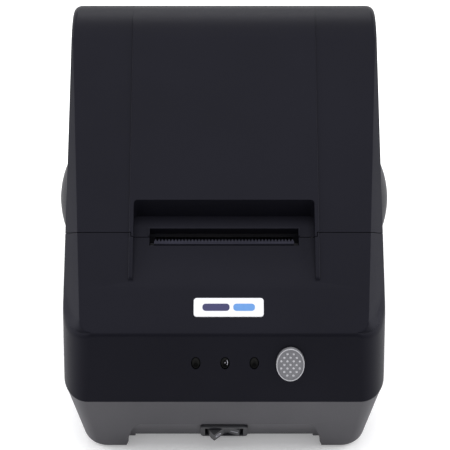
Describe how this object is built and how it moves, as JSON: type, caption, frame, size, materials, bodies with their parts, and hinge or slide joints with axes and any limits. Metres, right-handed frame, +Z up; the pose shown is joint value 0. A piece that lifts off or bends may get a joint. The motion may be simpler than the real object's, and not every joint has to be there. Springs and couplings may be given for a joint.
{
  "type": "receipt printer",
  "caption": "Desktop thermal receipt printer with a sloping lift-up lid, recessed paper slot with a saw-toothed tear bar, oval feed button, indicator lights and a front rocker switch.",
  "frame": {"origin": "on the table, under the middle of the printer's box", "axes": "+X to the right as seen from the front, +Y from the front panel to the back, +Z up"},
  "size_m": [0.148, 0.183, 0.1333],
  "materials": {
    "case_abs": "black moulded ABS with a fine spark texture",
    "base_abs": "charcoal moulded ABS, coarser texture",
    "inner_abs": "black moulded ABS, smooth",
    "label_vinyl": "white satin label, blank",
    "circuit_board": "green solder mask",
    "black_nylon": "black moulded nylon",
    "zinc_steel": "zinc plated steel",
    "tear_steel": "blackened stamped steel",
    "smoked_lens": "smoked clear plastic",
    "grey_abs": "mid grey ABS with raised dots",
    "flat_cable": "white flat cable",
    "aluminium": "extruded, plain",
    "head_ceramic": "glazed ceramic strip",
    "platen_rubber": "ground black silicone rubber",
    "white_acetal": "natural acetal",
    "foot_rubber": "soft black rubber"
  },
  "bodies": {
    "casing": {"base_tray": "base_abs", "rubber_foot_1": "foot_rubber", "rubber_foot_2": "foot_rubber", "rubber_foot_3": "foot_rubber", "rubber_foot_4": "foot_rubber", "upper_housing": "case_abs", "paper_bucket": "inner_abs", "badge_plate": "label_vinyl", "main_board": "circuit_board", "dc_jack": "black_nylon", "usb_socket": "zinc_steel", "drawer_socket": "black_nylon", "power_switch_frame": "black_nylon", "panel_board": "circuit_board", "led_power": "smoked_lens", "led_error": "smoked_lens", "led_paper": "smoked_lens", "tact_switch": "black_nylon", "mech_frame": "zinc_steel", "stepper_motor": "zinc_steel", "gear_axle": "zinc_steel", "tear_bar": "tear_steel", "paper_sensor": "black_nylon", "head_cable": "flat_cable", "head_spring_left": "zinc_steel", "head_spring_right": "zinc_steel", "base_screw_1": "zinc_steel", "base_screw_2": "zinc_steel", "base_screw_3": "zinc_steel", "base_screw_4": "zinc_steel", "board_screw_1": "zinc_steel", "board_screw_2": "zinc_steel", "board_screw_3": "zinc_steel", "board_screw_4": "zinc_steel", "mech_screw_left": "zinc_steel", "mech_screw_right": "zinc_steel", "hinge_pin_left": "zinc_steel", "hinge_pin_right": "zinc_steel"},
    "cover": {"cover_shell": "case_abs", "cover_liner": "inner_abs", "cover_screw_left": "zinc_steel", "cover_screw_right": "zinc_steel", "platen_bush_left": "white_acetal", "platen_bush_right": "white_acetal"},
    "platen": {"platen_roller": "platen_rubber", "platen_shaft": "zinc_steel", "platen_gear": "white_acetal"},
    "reduction_wheel": {"reduction_gear": "white_acetal"},
    "motor_rotor": {"motor_pinion": "zinc_steel"},
    "print_head": {"head_heatsink": "aluminium", "thermal_head": "head_ceramic"},
    "button": {"feed_button": "grey_abs"},
    "rocker": {"power_switch_rocker": "black_nylon"}
  },
  "joints": [
    {"name": "cover_hinge", "type": "hinge", "parent": "casing", "child": "cover", "pos_m": [0, 0.0845, 0.068], "axis": [-1, 0, 0], "range_deg": [0, 90]},
    {"name": "platen_spin", "type": "hinge", "parent": "cover", "child": "platen", "pos_m": [0, -0.0305, 0.07], "axis": [1, 0, 0], "continuous": true},
    {"name": "reduction_gear_spin", "type": "hinge", "parent": "casing", "child": "reduction_wheel", "pos_m": [0, -0.0305, 0.05863], "axis": [1, 0, 0], "continuous": true},
    {"name": "motor_spin", "type": "hinge", "parent": "casing", "child": "motor_rotor", "pos_m": [0, -0.03451, 0.04483], "axis": [1, 0, 0], "continuous": true},
    {"name": "head_tilt", "type": "hinge", "parent": "casing", "child": "print_head", "pos_m": [0, -0.0391, 0.058], "axis": [1, 0, 0], "range_deg": [0, 1.2], "stiffness_Nm_per_rad": 2, "springref_deg": -1.15},
    {"name": "feed_button_press", "type": "slide", "parent": "casing", "child": "button", "axis": [0, 0.9655, -0.2605], "range_m": [0, 0.001], "stiffness_N_per_m": 400, "springref_m": -0.0005},
    {"name": "power_rocker_tilt", "type": "hinge", "parent": "casing", "child": "rocker", "pos_m": [0, -0.08169, 0.01103], "axis": [0, 0.4848, -0.8746], "range_deg": [0, 24]}
  ],
  "couplings": [
    {"joint": "reduction_gear_spin", "follows": "platen_spin", "ratio": -1.5},
    {"joint": "motor_spin", "follows": "platen_spin", "ratio": 4.2}
  ]
}
